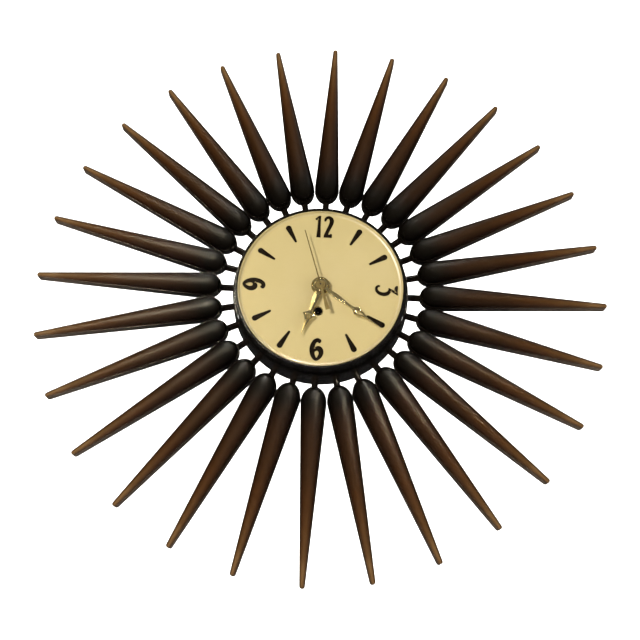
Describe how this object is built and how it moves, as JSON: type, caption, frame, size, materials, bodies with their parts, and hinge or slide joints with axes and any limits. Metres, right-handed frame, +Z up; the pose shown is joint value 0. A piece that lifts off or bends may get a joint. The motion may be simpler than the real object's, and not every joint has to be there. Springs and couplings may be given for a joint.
{
  "type": "wall clock",
  "caption": "Sunburst wall clock: key-wound movement in a round black case with a gold dial and hands, ringed by tapered rays",
  "frame": {"origin": "on the clock's axis, at the back cover's outer face, which is the wall's plane", "axes": "+Y points into the wall, -Y is the front, +Z is up towards 12 o'clock, +X is towards 3 o'clock"},
  "size_m": [0.61, 0.0517, 0.61],
  "materials": {
    "ray_finish": "satin sprayed, black at the inner head shading to golden brown at the tip",
    "case_black": "gloss black moulding",
    "dial_gold": "satin pale gold anodised, dark printed numerals and marks",
    "cover_board": "plain dark cover",
    "fitting_steel": "zinc plated",
    "hand_gold": "ridged, polished gold",
    "movement_brass": "plain turned and stamped brass",
    "movement_steel": "plain steel"
  },
  "bodies": {
    "case": {"ray_01": "ray_finish", "ray_02": "ray_finish", "ray_03": "ray_finish", "ray_04": "ray_finish", "ray_05": "ray_finish", "ray_06": "ray_finish", "ray_07": "ray_finish", "ray_08": "ray_finish", "ray_09": "ray_finish", "ray_10": "ray_finish", "ray_11": "ray_finish", "ray_12": "ray_finish", "ray_13": "ray_finish", "ray_14": "ray_finish", "ray_15": "ray_finish", "ray_16": "ray_finish", "ray_17": "ray_finish", "ray_18": "ray_finish", "ray_19": "ray_finish", "ray_20": "ray_finish", "ray_21": "ray_finish", "ray_22": "ray_finish", "ray_23": "ray_finish", "ray_24": "ray_finish", "ray_25": "ray_finish", "ray_26": "ray_finish", "ray_27": "ray_finish", "ray_28": "ray_finish", "ray_band": "case_black", "case_drum": "case_black", "dial": "dial_gold", "back_cover": "cover_board", "hanger_plate": "fitting_steel", "back_screw_1": "fitting_steel", "back_screw_2": "fitting_steel", "back_screw_3": "fitting_steel", "front_plate": "movement_brass", "back_plate": "movement_brass", "click_spring": "movement_steel", "hairspring": "movement_steel"},
    "barrel": {"mainspring_barrel": "movement_brass", "mainspring": "movement_steel"},
    "winding": {"winding_arbor": "movement_steel", "ratchet_wheel": "movement_steel"},
    "click": {"click": "movement_steel"},
    "intermediate": {"intermediate_wheel": "movement_brass"},
    "minute": {"centre_wheel": "movement_brass", "cannon_pinion": "movement_steel", "minute_hand": "hand_gold", "hand_nut": "hand_gold"},
    "third": {"third_wheel": "movement_brass"},
    "seconds": {"seconds_arbor": "movement_steel", "second_hand": "hand_gold"},
    "fourth": {"fourth_wheel": "movement_brass"},
    "escape": {"escape_wheel": "movement_steel"},
    "lever": {"pallet_lever": "movement_brass"},
    "balance": {"balance_wheel": "movement_brass"},
    "minute_reducer": {"minute_wheel": "movement_brass"},
    "hour": {"hour_wheel": "movement_brass", "hour_hand": "hand_gold"}
  },
  "joints": [
    {"name": "minute_turn", "type": "hinge", "parent": "case", "child": "minute", "pos_m": [0, -0.02, 0], "axis": [0, 1, 0], "continuous": true},
    {"name": "hour_turn", "type": "hinge", "parent": "case", "child": "hour", "pos_m": [0, -0.02, 0], "axis": [0, 1, 0], "continuous": true},
    {"name": "minute_reducer_turn", "type": "hinge", "parent": "case", "child": "minute_reducer", "pos_m": [-0.01353, -0.02, 0.00492], "axis": [0, 1, 0], "continuous": true},
    {"name": "intermediate_turn", "type": "hinge", "parent": "case", "child": "intermediate", "pos_m": [0.01839, -0.02, -0.0109], "axis": [0, 1, 0], "continuous": true},
    {"name": "barrel_turn", "type": "hinge", "parent": "case", "child": "barrel", "pos_m": [-0.001, -0.02, -0.027], "axis": [0, 1, 0], "continuous": true},
    {"name": "third_turn", "type": "hinge", "parent": "case", "child": "third", "pos_m": [0.008, -0.02, 0.01713], "axis": [0, 1, 0], "continuous": true},
    {"name": "seconds_turn", "type": "hinge", "parent": "case", "child": "seconds", "pos_m": [0, -0.02, 0], "axis": [0, 1, 0], "continuous": true},
    {"name": "fourth_turn", "type": "hinge", "parent": "case", "child": "fourth", "pos_m": [-0.00202, -0.02, 0.03315], "axis": [0, 1, 0], "continuous": true},
    {"name": "escape_turn", "type": "hinge", "parent": "case", "child": "escape", "pos_m": [-0.01826, -0.02, 0.03029], "axis": [0, 1, 0], "continuous": true},
    {"name": "winding_turn", "type": "hinge", "parent": "case", "child": "winding", "pos_m": [-0.001, -0.02, -0.027], "axis": [0, 1, 0], "continuous": true},
    {"name": "click_lift", "type": "hinge", "parent": "case", "child": "click", "pos_m": [0.01096, -0.02, -0.01863], "axis": [0, 1, 0], "range_deg": [0, 10], "stiffness_Nm_per_rad": 0.004, "springref_deg": -17.19},
    {"name": "lever_rock", "type": "hinge", "parent": "case", "child": "lever", "pos_m": [-0.02412, -0.02, 0.02193], "axis": [0, 1, 0], "range_deg": [-4, 4]},
    {"name": "balance_swing", "type": "hinge", "parent": "case", "child": "balance", "pos_m": [-0.02771, -0.02, 0.01207], "axis": [0, 1, 0], "range_deg": [-140, 140], "stiffness_Nm_per_rad": 0.00002}
  ],
  "couplings": [
    {"joint": "hour_turn", "follows": "minute_turn", "ratio": 0.083333},
    {"joint": "minute_reducer_turn", "follows": "minute_turn", "ratio": -0.33333},
    {"joint": "intermediate_turn", "follows": "minute_turn", "ratio": -0.1875},
    {"joint": "barrel_turn", "follows": "minute_turn", "ratio": 0.03125},
    {"joint": "third_turn", "follows": "minute_turn", "ratio": -8},
    {"joint": "seconds_turn", "follows": "minute_turn", "ratio": 60},
    {"joint": "fourth_turn", "follows": "minute_turn", "ratio": 60},
    {"joint": "escape_turn", "follows": "minute_turn", "ratio": -600}
  ]
}
